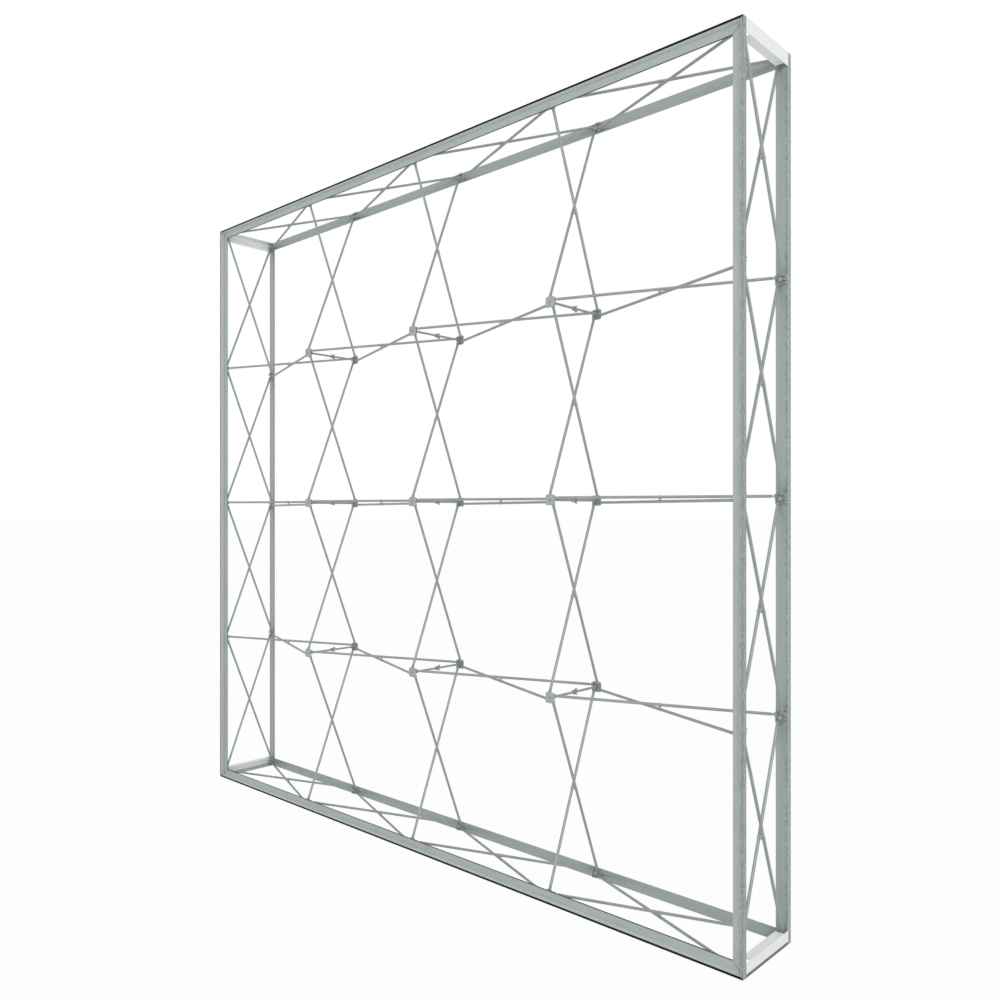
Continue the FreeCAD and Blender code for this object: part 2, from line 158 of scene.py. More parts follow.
def hub_body(bm):
    """The plate, boss and bore in one run of loops, from the end of the boss to the end of the bore."""
    corner = math.atan2(HUB_FLAT, HUB_REACH)
    steps = round(QUARTER_TURN / BODY_STEP)
    quarter = [corner, QUARTER_TURN - corner] + [BODY_STEP * step for step in range(steps)]
    angles = sorted(turn * QUARTER_TURN + angle for turn in range(4) for angle in quarter)

    def ring(radius, y):
        return [(radius * math.cos(a), y, radius * math.sin(a)) for a in angles]

    def edge(inset, y):
        reach = [octagon_reach(a, inset) for a in angles]
        return [(r * math.cos(a), y, r * math.sin(a)) for r, a in zip(reach, angles)]

    e = MOULD_EDGE
    floor = HUB_FACE + FACE_RECESS
    skin(bm, [
        ring(BOSS_RADIUS - e, BOSS_END), ring(BOSS_RADIUS, BOSS_END - e),
        ring(BOSS_RADIUS, PLATE_BACK + e), ring(BOSS_RADIUS + e, PLATE_BACK),
        edge(e, PLATE_BACK), edge(0, PLATE_BACK - e), edge(0, HUB_FACE + e), edge(e, HUB_FACE),
        ring(RECESS_RADIUS, HUB_FACE), ring(RECESS_RADIUS - e, floor),
        ring(RIM_RADIUS + e, floor), ring(RIM_RADIUS, HUB_FACE),
        ring(BORE_RADIUS + e, HUB_FACE), ring(BORE_RADIUS, HUB_FACE + e), ring(BORE_RADIUS, BORE_END),
    ], "capped")


def ear(bm, centre, drop, low_z, thickness, turn):
    """One ear: a plate with a round end about its pin hole, standing drop below the pin, turned about Y."""
    foot = math.atan2(drop, EAR_RADIUS)
    angles = [EAR_STEP * step for step in range(round(HALF_TURN / EAR_STEP) + 1)]
    angles += [HALF_TURN + foot * share for share in (0.5, 1)]
    angles += [FULL_TURN - foot * share for share in (1, 0.5)]

    def outline(inset, z):
        points = []
        for a in angles:
            reach = EAR_RADIUS
            if math.sin(a) < -LEAST:
                reach = min(EAR_RADIUS / max(abs(math.cos(a)), LEAST), drop / abs(math.sin(a)))
            reach -= inset
            points.append(centre + Vector((reach * math.cos(a), reach * math.sin(a), z)))
        return points

    def hole(z):
        return [centre + Vector((PIN_HOLE * math.cos(a), PIN_HOLE * math.sin(a), z)) for a in angles]

    e = MOULD_EDGE
    high_z = low_z + thickness
    loops = [hole(low_z), outline(e, low_z), outline(0, low_z + e), outline(0, high_z - e),
             outline(e, high_z), hole(high_z)]
    skin(bm, [[turn @ point for point in loop] for loop in loops], "joined")


def hub(name, has_lug):
    """A front hub about its middle on the plane of the pins, with its face to -Y."""
    bm = bmesh.new()
    hub_body(bm)
    for quarter in range(4):
        turn = Matrix.Rotation(-QUARTER_TURN * quarter, 3, "Y")
        for low_z in (CLEVIS_OFFSET - CLEVIS_GAP / 2 - CLEVIS_EAR, CLEVIS_OFFSET + CLEVIS_GAP / 2):
            ear(bm, Vector((PIN_REACH, 0, 0)), EAR_SINK - PLATE_BACK, low_z, CLEVIS_EAR, turn)
    if has_lug:
        drop = LUG_REACH - BOSS_END + EAR_SINK
        for low_z in (-LUG_GAP / 2 - LUG_EAR, LUG_GAP / 2):
            ear(bm, Vector((0, LUG_REACH, 0)), drop, low_z, LUG_EAR, Matrix.Identity(3))
    return template(bm, name)


def srgb(red, green, blue):
    """A colour as the shader takes it, from its 8 bit screen values."""
    def linear(value):
        share = value / 255
        return share / 12.92 if share <= 0.04045 else ((share + 0.055) / 1.055) ** 2.4
    return (linear(red), linear(green), linear(blue), 1)


def add_node(material, kind, inputs, **settings):
    """A node with its settings, and each input set to a value or linked from another node's socket."""
    made = material.node_tree.nodes.new(kind)
    for name, value in settings.items():
        setattr(made, name, value)
    for socket, value in inputs.items():
        if isinstance(value, bpy.types.NodeSocket):
            material.node_tree.links.new(value, made.inputs[socket])
        else:
            made.inputs[socket].default_value = value
    return made


def tone_ramp(material, factor, tones):
    """A colour ramp through tones, evenly spaced, read at factor."""
    ramp = add_node(material, "ShaderNodeValToRGB", {"Fac": factor})
    stops = ramp.color_ramp.elements
    while len(stops) < len(tones):
        stops.new(0.5)
    for i, tone in enumerate(tones):
        stops[i].position = i / (len(tones) - 1)
        stops[i].color = tone
    return ramp.outputs["Color"]


def arithmetic(material, operation, *values):
    """The output of a math node over values or other nodes' sockets."""
    inputs = dict(enumerate(values))
    return add_node(material, "ShaderNodeMath", inputs, operation=operation).outputs[0]


def spread(material, value, **limits):
    """A value stretched from one span of sizes to another, by default between 0 and 1."""
    inputs = {name.replace("_", " ").title(): limit for name, limit in limits.items()}
    return add_node(material, "ShaderNodeMapRange", {"Value": value, **inputs}).outputs[0]


def bumps(material, height, strength, depth):
    """The normal of a surface with a fine relief."""
    inputs = {"Height": height, "Strength": strength, "Distance": depth}
    return add_node(material, "ShaderNodeBump", inputs).outputs["Normal"]


def noise(material, place, scale, detail):
    """A cloudy pattern over a place, between about 0.3 and 0.7."""
    inputs = {"Vector": place, "Scale": scale, "Detail": detail}
    return add_node(material, "ShaderNodeTexNoise", inputs).outputs["Fac"]


def toned(material, share, under, tone, **settings):
    """The colour under, with another tone mixed in by share."""
    inputs = {"Factor": share, 6: under, 7: tone}
    return add_node(material, "ShaderNodeMix", inputs, data_type="RGBA", **settings).outputs[2]


def new_material(name):
    """A material with its own shader to link to."""
    material = bpy.data.materials.new(name)
    material.use_nodes = True
    return material


def own_place(material):
    """The place on a piece, in metres from its origin."""
    return add_node(material, "ShaderNodeTexCoord", {}).outputs["Object"]


def place_along(material):
    """The place on a template, measured along its own axes."""
    return add_node(material, "ShaderNodeAttribute", {}, attribute_name="along").outputs["Vector"]


def axes_of(material, place):
    """The three sizes of a place, by the names of their axes."""
    return add_node(material, "ShaderNodeSeparateXYZ", {"Vector": place}).outputs


def set_shader(material, colour, roughness, normal, metallic):
    """The material's own shader, with linked colour, roughness and bump and a fixed metal share."""
    shader = material.node_tree.nodes["Principled BSDF"]
    shader.inputs["Metallic"].default_value = metallic
    material.node_tree.links.new(colour, shader.inputs["Base Color"])
    material.node_tree.links.new(roughness, shader.inputs["Roughness"])
    material.node_tree.links.new(normal, shader.inputs["Normal"])


FLOW_SCALE = 90
PLASTIC_GLOSS = (0.48, 0.68)
GRAIN_DEPTH = 0.2 * MM


def moulded_plastic(name, tones, grain):
    """Moulded plastic: a spark grain, slow cloudy flow marks and gloss that varies with them."""
    material = new_material(name)
    place = own_place(material)
    flow = noise(material, place, FLOW_SCALE, detail=4)
    fine = noise(material, place, grain, detail=2)
    both = arithmetic(material, "MULTIPLY", flow, fine)
    colour = tone_ramp(material, spread(material, both, from_min=0.1, from_max=0.4), tones)
    gloss = spread(material, fine, to_min=PLASTIC_GLOSS[0], to_max=PLASTIC_GLOSS[1])
    relief = bumps(material, fine, strength=0.35, depth=GRAIN_DEPTH)
    set_shader(material, colour, gloss, relief, metallic=0)
    return material


def painted_shade_behind(material, depth, tone):
    """The moulding darkened behind a depth, as painted shade on the back of the hub."""
    shader = material.node_tree.nodes["Principled BSDF"]
    colour = shader.inputs["Base Color"].links[0].from_socket
    axes = axes_of(material, place_along(material))
    behind = arithmetic(material, "GREATER_THAN", axes["Y"], depth)
    darker = toned(material, behind, colour, tone, blend_type="MULTIPLY")
    material.node_tree.links.new(darker, shader.inputs["Base Color"])


HUB_GREY = [srgb(160, 168, 167), srgb(175, 182, 181), srgb(185, 191, 190)]
# Painted shade: the tone that darkens each hub behind its face plate.
HUB_BACK_PAINTED_SHADE = (0.8, 0.81, 0.81, 1)
hub_plastic = moulded_plastic("hub_plastic", HUB_GREY, grain=1400)
painted_shade_behind(hub_plastic, PLATE_BACK - MOULD_EDGE, HUB_BACK_PAINTED_SHADE)
plain_hub = hub("plain_hub", has_lug=False)
lug_hub = hub("lug_hub", has_lug=True)


def is_inner(column, row):
    """Whether a hub stands off the edges of the wall, so that it carries a lock."""
    return 0 < column < BAYS and 0 < row < BAYS


def hub_place(column, row, side):
    """Where a hub stands: a rear hub is a front hub turned about."""
    middle = Vector((COLUMN_X[column], side * PIN_PLANE, ROW_Z[row]))
    turn = Matrix.Rotation(HALF_TURN if side > 0 else 0, 4, "Z")
    return Matrix.Translation(middle) @ turn


for side_name, side in SIDES.items():
    for row in range(BAYS + 1):
        placed = [(lug_hub if is_inner(column, row) else plain_hub, hub_place(column, row, side))
                  for column in range(BAYS + 1)]
        node = f"{side_name}_hubs_row_{row + 1}"
        set_out(node + "_moulded", placed, hub_plastic, "lattice", [node])

# Strut tubes
# Eighty thin aluminium tubes run crosswise between the front and rear hubs, two to a bay, level along
# each row of hubs and upright along each column. They are drawn, satin anodised and cut to one length.
TUBE_RADIUS = 5.25 * MM
TUBE_WALL = 1.0 * MM
TUBE_START = 14.0 * MM
TUBE_CHAMFER = 0.4 * MM
TUBE_SECTIONS = 6
ROUND_SIDES = 28
STRUT_SPAN = math.hypot(BAY - 2 * PIN_REACH, 2 * PIN_PLANE)


def turned(profile, segments):
    """Loops of a round shape along X, from pairs of radius and place along it."""
    angles = [FULL_TURN * step / segments for step in range(segments)]
    return [[(x, r * math.cos(a), r * math.sin(a)) for a in angles] for r, x in profile]


def strut_tube():
    """A tube along X, measured from the pin of its first tip."""
    start = TUBE_START
    end = STRUT_SPAN - TUBE_START
    run = end - start - 2 * TUBE_CHAMFER
    profile = [(TUBE_RADIUS - TUBE_CHAMFER, start)]
    for step in range(TUBE_SECTIONS + 1):
        profile.append((TUBE_RADIUS, start + TUBE_CHAMFER + run * step / TUBE_SECTIONS))
    profile.append((TUBE_RADIUS - TUBE_CHAMFER, end))
    profile += [(TUBE_RADIUS - TUBE_WALL, end), (TUBE_RADIUS - TUBE_WALL, start)]
    bm = bmesh.new()
    skin(bm, turned(profile, ROUND_SIDES), "joined")
    return template(bm, "strut_tube")


def laid(place, along, pin_axis):
    """A matrix that turns X to along and Z to pin_axis, with its origin at place."""
    across = pin_axis.cross(along)
    turn = Matrix((along, across, pin_axis)).transposed().to_4x4()
    return Matrix.Translation(place) @ turn


def scissor(column, row, level):
    """The two pin to pin lines of one bay's scissor pair: its near pin, far pin and pin axis."""
    run = X_AXIS if level else Z_AXIS
    pin_axis = Z_AXIS if level else X_AXIS
    sideways = pin_axis * (CLEVIS_OFFSET if level else -CLEVIS_OFFSET)
    lines = []
    for side in SIDES.values():
        hub_middle = Vector((COLUMN_X[column], side * PIN_PLANE, ROW_Z[row]))
        near = hub_middle + run * PIN_REACH - sideways * side
        far = near + run * (BAY - 2 * PIN_REACH) - Y_AXIS * (2 * side * PIN_PLANE)
        lines.append((near, far, pin_axis, side))
    return lines


DRAW_STRETCH = 3
CLOUD_SCALE = 14
LINE_DEPTH = 0.1 * MM


def satin_aluminium(name, tones, metallic, gloss, draw_lines):
    """Drawn aluminium, satin anodised: fine draw lines along the piece, a cloudy tone and a soft gloss."""
    material = new_material(name)
    along = place_along(material)
    scale = (DRAW_STRETCH, draw_lines, draw_lines)
    stretch = add_node(material, "ShaderNodeMapping", {"Vector": along, "Scale": scale})
    lines = noise(material, stretch.outputs[0], 1, detail=6)
    clouds = noise(material, along, CLOUD_SCALE, detail=3)
    both = arithmetic(material, "ADD", lines, clouds)
    colour = tone_ramp(material, spread(material, both, from_min=0.7, from_max=1.3), tones)
    dull = spread(material, lines, to_min=gloss[0], to_max=gloss[1])
    relief = bumps(material, lines, strength=0.25, depth=LINE_DEPTH)
    set_shader(material, colour, dull, relief, metallic)
    return material


STRUT_GREY = [srgb(142, 151, 150), srgb(154, 162, 161), srgb(165, 172, 171)]
strut_aluminium = satin_aluminium("strut_aluminium", STRUT_GREY, metallic=0.5, gloss=(0.34, 0.5),
                                  draw_lines=1500)
tube = strut_tube()
LEVEL_BAYS = [(column, row) for row in range(BAYS + 1) for column in range(BAYS)]
UPRIGHT_BAYS = [(column, row) for column in range(BAYS + 1) for row in range(BAYS)]
scissors = [line for column, row in LEVEL_BAYS for line in scissor(column, row, level=True)]
scissors += [line for column, row in UPRIGHT_BAYS for line in scissor(column, row, level=False)]


def tube_places(bays, level):
    """The place of each tube of some bays."""
    places = []
    for column, row in bays:
        for near, far, pin_axis, _ in scissor(column, row, level):
            places.append((tube, laid(near, (far - near).normalized(), pin_axis)))
    return places


for row in range(BAYS + 1):
    node = f"cross_struts_row_{row + 1}"
    placed = tube_places([(column, row) for column in range(BAYS)], level=True)
    set_out(node + "_tubes", placed, strut_aluminium, "lattice", [node])
for column in range(BAYS + 1):
    node = f"upright_struts_column_{column + 1}"
    placed = tube_places([(column, row) for row in range(BAYS)], level=False)
    set_out(node + "_tubes", placed, strut_aluminium, "lattice", [node])

# Strut tips
# Each tube ends in a moulded tip: a plug inside the tube, a collar as wide as the tube, and a flat
# tongue with an eye that turns on the pin between two ears of a hub.
TONGUE_RADIUS = 5.0 * MM
TONGUE_THICKNESS = 6.0 * MM
TANG_LENGTH = 12.0 * MM
TIP_EDGE = 0.6 * MM
PLUG_SHOWN = 2.0 * MM


def tongue(bm, length, half_width):
    """A flat tongue along X with a round eye about its pin at the origin, and the hole for the pin."""
    reach = math.hypot(length, half_width)
    corner = math.atan2(half_width, length)
    angles = [QUARTER_TURN + EAR_STEP * step for step in range(round(HALF_TURN / EAR_STEP) + 1)]
    angles += [FULL_TURN - corner, FULL_TURN, FULL_TURN + corner]

    def outline(inset, z):
        points = []
        for a in angles:
            size = TONGUE_RADIUS
            if math.cos(a) > LEAST:
                size = min(length / math.cos(a), half_width / max(abs(math.sin(a)), LEAST), reach)
            size -= inset
            points.append((size * math.cos(a), size * math.sin(a), z))
        return points

    def hole(z):
        return [(PIN_HOLE * math.cos(a), PIN_HOLE * math.sin(a), z) for a in angles]

    half = TONGUE_THICKNESS / 2
    e = TIP_EDGE
    skin(bm, [hole(-half), outline(e, -half), outline(0, e - half), outline(0, half - e),
              outline(e, half), hole(half)], "joined")


def strut_tip():
    """A tip along X from its pin."""
    bm = bmesh.new()
    tongue(bm, TANG_LENGTH + TIP_EDGE, TONGUE_RADIUS)
    bore = TUBE_RADIUS - TUBE_WALL
    collar_end = TUBE_START - TUBE_CHAMFER / 4
    profile = [(TUBE_RADIUS - 2 * TIP_EDGE, TANG_LENGTH - TIP_EDGE), (TUBE_RADIUS, TANG_LENGTH + TIP_EDGE),
               (TUBE_RADIUS, collar_end - TIP_EDGE / 2), (TUBE_RADIUS - TIP_EDGE / 2, collar_end),
               (bore, TUBE_START), (bore, TUBE_START + PLUG_SHOWN)]
    skin(bm, turned(profile, ROUND_SIDES), "capped")
    return template(bm, "strut_tip")


TIP_GREY = [srgb(146, 154, 153), srgb(158, 165, 164), srgb(168, 175, 174)]
tip_plastic = moulded_plastic("tip_plastic", TIP_GREY, grain=1600)
tip = strut_tip()
tip_places = {side: [] for side in SIDES.values()}
for near, far, pin_axis, side in scissors:
    along = (far - near).normalized()
    tip_places[side].append((tip, laid(near, along, pin_axis)))
    tip_places[-side].append((tip, laid(far, -along, pin_axis)))
for side_name, side in SIDES.items():
    node = f"{side_name}_strut_tips"
    set_out(node + "_moulded", tip_places[side], tip_plastic, "lattice", [node])

# Hub pins
# A zinc plated steel pin with a low domed head at each end holds every tongue in its pair of ears,
# and one more at each corner hub holds the depth bar. They are pressed in and upset.
PIN_RADIUS = 2.0 * MM
PIN_HEAD_RADIUS = 3.2 * MM
PIN_HEAD = 0.8 * MM
PIN_SIDES = 20
PIN_DOME = [(1, 0), (1, 0.45), (0.8, 0.8), (0.4, 1)]


def headed_pin(length):
    """A pin about its middle, along Z, with a domed head at each end."""
    half = length / 2
    dome = [(width * PIN_HEAD_RADIUS, half + rise * PIN_HEAD) for width, rise in PIN_DOME]
    profile = [(radius, -x) for radius, x in reversed(dome)]
    profile += [(PIN_RADIUS, -half), (PIN_RADIUS, half)] + dome
    bm = bmesh.new()
    skin(bm, turned(profile, PIN_SIDES), "capped")
    bmesh.ops.transform(bm, matrix=Matrix.Rotation(-QUARTER_TURN, 4, "Y"), verts=bm.verts)
    return template(bm, "headed_pin")


SPANGLE_SCALE = 1100
PATCH_SCALE = 300
ZINC_GLOSS = (0.25, 0.5)
PATCH_DEPTH = 0.1 * MM


def zinc_plate(name, tones):
    """Zinc plated steel: bright, with the spangle of the bath and duller patches."""
    material = new_material(name)
    place = own_place(material)
    spangle = add_node(material, "ShaderNodeTexVoronoi", {"Vector": place, "Scale": SPANGLE_SCALE})
    patches = noise(material, place, PATCH_SCALE, detail=3)
    colour = tone_ramp(material, spangle.outputs["Distance"], tones)
    dull = spread(material, patches, to_min=ZINC_GLOSS[0], to_max=ZINC_GLOSS[1])
    relief = bumps(material, patches, strength=0.15, depth=PATCH_DEPTH)
    set_shader(material, colour, dull, relief, metallic=1)
    return material


ZINC_GREY = [srgb(150, 156, 157), srgb(176, 181, 181), srgb(164, 169, 170)]
zinc_steel = zinc_plate("zinc_steel", ZINC_GREY)
hub_pin = headed_pin(CLEVIS_GAP + 2 * CLEVIS_EAR)
pin_places = {side: [] for side in SIDES.values()}
for near, far, pin_axis, side in scissors:
    pin_places[side].append((hub_pin, laid(near, Y_AXIS, pin_axis)))
    pin_places[-side].append((hub_pin, laid(far, Y_AXIS, pin_axis)))
for side in SIDES.values():
    for column in (0, BAYS):
        outward = 1 if column else -1
        for row in (0, BAYS):
            hub_middle = Vector((COLUMN_X[column], side * PIN_PLANE, ROW_Z[row]))
            place = hub_middle + X_AXIS * (outward * PIN_REACH) - Z_AXIS * (outward * side * CLEVIS_OFFSET)
            pin_places[side].append((hub_pin, laid(place, Y_AXIS, Z_AXIS)))
for side_name, side in SIDES.items():
    node = f"{side_name}_hub_pins"
    set_out(node + "_headed", pin_places[side], zinc_steel, "lattice", [node])

# Scissor rivets and washers
# Where two tubes of a bay cross, a steel rivet goes through both of them with a nylon washer between,
# so that the pair can fold like scissors.
RIVET_HEAD_RADIUS = 4.0 * MM
RIVET_HEAD = 1.5 * MM
WASHER_RADIUS = 5.0 * MM
WASHER_HALF = 2.65 * MM
RIVET_SINK = 1.6 * MM
RIVET_SIDES = 24
DOME_ANGLES = [math.radians(degrees) for degrees in range(0, 90, 20)]


def scissor_rivet():
    """A rivet along Z about its middle, with a round head on each tube."""
    half = CLEVIS_OFFSET + TUBE_RADIUS
    dome = [(RIVET_HEAD_RADIUS, half - RIVET_SINK)]
    for angle in DOME_ANGLES:
        dome.append((RIVET_HEAD_RADIUS * math.cos(angle), half + RIVET_HEAD * math.sin(angle)))
    profile = [(radius, -x) for radius, x in reversed(dome)]
    profile += [(PIN_RADIUS, RIVET_SINK - half), (PIN_RADIUS, half - RIVET_SINK)] + dome
    bm = bmesh.new()
    skin(bm, turned(profile, RIVET_SIDES), "capped")
    bmesh.ops.transform(bm, matrix=Matrix.Rotation(-QUARTER_TURN, 4, "Y"), verts=bm.verts)
    return template(bm, "scissor_rivet")


def scissor_washer():
    """A washer along Z about its middle, with eased edges."""
    e = TUBE_CHAMFER
    half = WASHER_HALF
    profile = [(PIN_HOLE, -half), (WASHER_RADIUS - e, -half), (WASHER_RADIUS, e - half),
               (WASHER_RADIUS, half - e), (WASHER_RADIUS - e, half), (PIN_HOLE, half)]
    bm = bmesh.new()
    skin(bm, turned(profile, ROUND_SIDES), "joined")
    bmesh.ops.transform(bm, matrix=Matrix.Rotation(-QUARTER_TURN, 4, "Y"), verts=bm.verts)
    return template(bm, "scissor_washer")


WASHER_GREY = [srgb(182, 188, 186), srgb(194, 199, 197), srgb(202, 206, 204)]
washer_nylon = moulded_plastic("washer_nylon", WASHER_GREY, grain=1200)
crossings = []
for level, bays in ((True, LEVEL_BAYS), (False, UPRIGHT_BAYS)):
    for column, row in bays:
        run = X_AXIS if level else Z_AXIS
        middle = Vector((COLUMN_X[column], 0, ROW_Z[row])) + run * (BAY / 2)
        crossings.append(laid(middle, Y_AXIS, Z_AXIS if level else X_AXIS))
rivet = scissor_rivet()
washer = scissor_washer()
set_out("scissor_rivets_domed", [(rivet, place) for place in crossings], zinc_steel,
        "lattice", ["scissor_rivets"])
set_out("scissor_washers_nylon", [(washer, place) for place in crossings], washer_nylon,
        "lattice", ["scissor_washers"])

# Locks
# At each inner pair of hubs a moulded post stands out from the rear hub and ends in a ball. A moulded
# arm from the front hub swings over it, and its forked clip snaps round the neck to hold the depth.
LOCK_PIN_PLANE = PIN_PLANE - LUG_REACH
LOCK_ROD_RADIUS = 4.5 * MM
LOCK_TANG = 8.0 * MM
NECK_RADIUS = 2.4 * MM
NECK_LENGTH = 16.0 * MM
BALL_RADIUS = 4.8 * MM
BALL_ANGLES = [math.radians(degrees) for degrees in range(150, 0, -15)]
LOCK_EDGE = 0.5 * MM
ARM_EDGE = 0.3 * MM
WELD_REACH = 0.01 * MM
EASED_EDGE = math.radians(40)


def lock_post():
    """A post along X from its pin: eye, tang, rod, neck and ball."""
    bm = bmesh.new()
    tongue(bm, LOCK_TANG + TIP_EDGE, LOCK_ROD_RADIUS)
    ball_middle = LOCK_PIN_PLANE
    neck_start = ball_middle - NECK_LENGTH
    profile = [(LOCK_ROD_RADIUS - TIP_EDGE, LOCK_TANG - TIP_EDGE), (LOCK_ROD_RADIUS, LOCK_TANG),
               (LOCK_ROD_RADIUS, neck_start - LOCK_EDGE), (LOCK_ROD_RADIUS - LOCK_EDGE, neck_start),
               (NECK_RADIUS + LOCK_EDGE, neck_start), (NECK_RADIUS, neck_start + LOCK_EDGE)]
    for angle in BALL_ANGLES:
        profile.append((BALL_RADIUS * math.sin(angle), ball_middle + BALL_RADIUS * math.cos(angle)))
    skin(bm, turned(profile, ROUND_SIDES), "capped")
    return template(bm, "lock_post")


LOCK_GREY = [srgb(142, 150, 149), srgb(156, 163, 162), srgb(166, 173, 172)]
lock_plastic = moulded_plastic("lock_plastic", LOCK_GREY, grain=1500)
post = lock_post()
lock_pin = headed_pin(LUG_GAP + 2 * LUG_EAR)
post_places = []
lock_pin_places = []
for row in range(1, BAYS):
    for column in range(1, BAYS):
        line = Vector((COLUMN_X[column], 0, ROW_Z[row]))
        rear_pin = line + Y_AXIS * LOCK_PIN_PLANE
        post_places.append((post, laid(rear_pin, -Y_AXIS, Z_AXIS)))
        for side in SIDES.values():
            lock_pin_places.append((lock_pin, Matrix.Translation(line + Y_AXIS * (side * LOCK_PIN_PLANE))))
set_out("lock_posts_moulded", post_places, lock_plastic, "lattice", ["lock_posts"])
set_out("lock_pins_headed", lock_pin_places, zinc_steel, "lattice", ["lock_pins"])


def dress(node, finish, edge):
    """A CAD node in its finish, with its seams welded and its sharp edges eased."""
    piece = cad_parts[node]
    piece.data.materials.clear()
    piece.data.materials.append(finish)
    weld = piece.modifiers.new("seams", "WELD")
    weld.merge_threshold = WELD_REACH
    ease = piece.modifiers.new("eased_edges", "BEVEL")
    ease.width = edge
    ease.segments = 2
    ease.limit_method = "ANGLE"
    ease.angle_limit = EASED_EDGE
    ease.harden_normals = False


for row in range(2, BAYS + 1):
    for column in range(2, BAYS + 1):
        dress(f"lock_arm_row_{row}_column_{column}", lock_plastic, ARM_EDGE)

# Depth bars
# Four bars of folded sheet steel join the front and rear frames at the corners, powder coated white.
# A tongue at each end is pinned in the outer ears of a corner hub.
BAR_EDGE = 0.4 * MM
PEEL_SCALE = 520
PEEL_DEPTH = 0.3 * MM
UNEVEN_SCALE = 24
COAT_GLOSS = (0.32, 0.48)


def powder_coat(name, tones):
    """White powder coat: an orange peel surface, a soft gloss and a faint unevenness of tone."""
    material = new_material(name)
    place = own_place(material)
    peel = noise(material, place, PEEL_SCALE, detail=2)
    uneven = noise(material, place, UNEVEN_SCALE, detail=3)
    gloss = spread(material, uneven, to_min=COAT_GLOSS[0], to_max=COAT_GLOSS[1])
    colour = tone_ramp(material, uneven, tones)
    relief = bumps(material, peel, strength=0.2, depth=PEEL_DEPTH)
    set_shader(material, colour, gloss, relief, metallic=0)
    return material


BAR_WHITE = [srgb(242, 246, 245), srgb(248, 251, 250), srgb(251, 253, 252)]
bar_white = powder_coat("bar_white", BAR_WHITE)
for end in ("bottom", "top"):
    for hand in ("left", "right"):
        dress(f"depth_bar_{end}_{hand}", bar_white, BAR_EDGE)

# Foot strips
# A rubber angle under each lower depth bar keeps it off the floor. It is dark grey on its outer face, with
# fine ribs along it, and is pushed onto the lower edge of the bar. Its inside is coloured pale, as painted
# light.
FOOT_SKIN = BAYS * BAY / 2 + FIRST_ROW - 1 * MM
RIB_SCALE = 260
RIB_DEPTH = 0.3 * MM
BLOOM_SCALE = 60
RUBBER_GLOSS = (0.6, 0.85)


def ribbed_rubber(name, tones, inside):
    """Extruded rubber: fine ribs along Y, a dusty bloom on the outer face and a plain inside in painted
    light.
    """
    material = new_material(name)
    place = own_place(material)
    waves = {"Vector": place, "Scale": RIB_SCALE, "Distortion": 0.3}
    ribs = add_node(material, "ShaderNodeTexWave", waves, wave_type="BANDS", bands_direction="Z")
    bloom = noise(material, place, BLOOM_SCALE, detail=5)
    reach = arithmetic(material, "ABSOLUTE", axes_of(material, place)["X"])
    outer = arithmetic(material, "GREATER_THAN", reach, FOOT_SKIN)
    # Painted light: the inside of the strip takes the plain pale tone.
    colour = toned(material, outer, inside, tone_ramp(material, bloom, tones))
    dull = spread(material, bloom, to_min=RUBBER_GLOSS[0], to_max=RUBBER_GLOSS[1])
    relief = bumps(material, ribs.outputs["Fac"], strength=0.3, depth=RIB_DEPTH)
    set_shader(material, colour, dull, relief, metallic=0)
    return material


# Painted light: the pale tone of the strip's inside.
FOOT_INSIDE_PAINTED_LIGHT = srgb(196, 202, 201)
FOOT_DARK = [srgb(100, 107, 107), srgb(114, 121, 121), srgb(128, 134, 134)]
foot_grey = ribbed_rubber("foot_grey", FOOT_DARK, FOOT_INSIDE_PAINTED_LIGHT)
dress("foot_strips", foot_grey, BAR_EDGE)

# Rails
# Four aluminium rails make the front frame and four the rear one, mitred and sealed at the corners. Each is
# extruded and satin anodised: a lip, the graphic groove and a wall, on a wide flange. The groove of the
# level ones is coloured near black, as painted shade. The upright ones have a line of painted shade inside
# the lip, a groove in painted light, and a band rolled for grip. All rails carry painted light and shade on
# their walls, backs, sides and inner edges.
WIDTH = cad_box[1].x - cad_box[0].x
DEPTH = cad_box[1].y - cad_box[0].y
HEIGHT = cad_box[1].z - cad_box[0].z
RAIL_DEPTH = 22 * MM
RAIL_LIP = 1.5 * MM
GROOVE_WIDTH = 3.9 * MM
GROOVE_WALL = 4.6 * MM
FLANGE_WIDTH = 42 * MM
FLANGE_FRONT = 17 * MM
MITRE_HALF_GAP = 0.2 * MM
RAIL_EDGE = 0.4 * MM
RAIL_SECTIONS = 8

TINT_EDGE = 0.05 * MM
GROOVE_SHADE_LAP = 3.0 * MM
EDGE_LAP = 1.4 * MM
SEAM_WIDTH = 2.0 * MM
SEAM_GREY = srgb(92, 99, 99)
RAIL_GREY = [srgb(170, 179, 178), srgb(176, 185, 184), srgb(181, 190, 189)]
RAIL_PAINTED_SHADE = srgb(166, 175, 174)
GRIP_GREY = [srgb(116, 124, 124), srgb(142, 150, 150), srgb(192, 199, 198)]
DASH_LENGTH = 7.0 * MM
DASH_WIDTH = 3.2 * MM
DASH_LINE = 0.4 * MM
LEVEL_WALL_PAINTED_LIGHT = srgb(226, 232, 231)
UPRIGHT_WALL_PAINTED_LIGHT = srgb(201, 210, 208)
UPRIGHT_GROOVE_PAINTED_LIGHT = srgb(246, 249, 248)
LIP_LINE = 2.4 * MM
LIP_PAINTED_SHADE = srgb(96, 103, 103)
REAR_SIDE_PAINTED_LIGHT = srgb(184, 191, 190)
FRONT_SIDE_PAINTED_SHADE = srgb(150, 158, 158)
LEVEL_GROOVE_PAINTED_SHADE = srgb(34, 37, 37)
FRONT_EDGE_PAINTED_SHADE = srgb(34, 37, 37)
UPRIGHT_EDGE_PAINTED_SHADE = srgb(122, 130, 130)


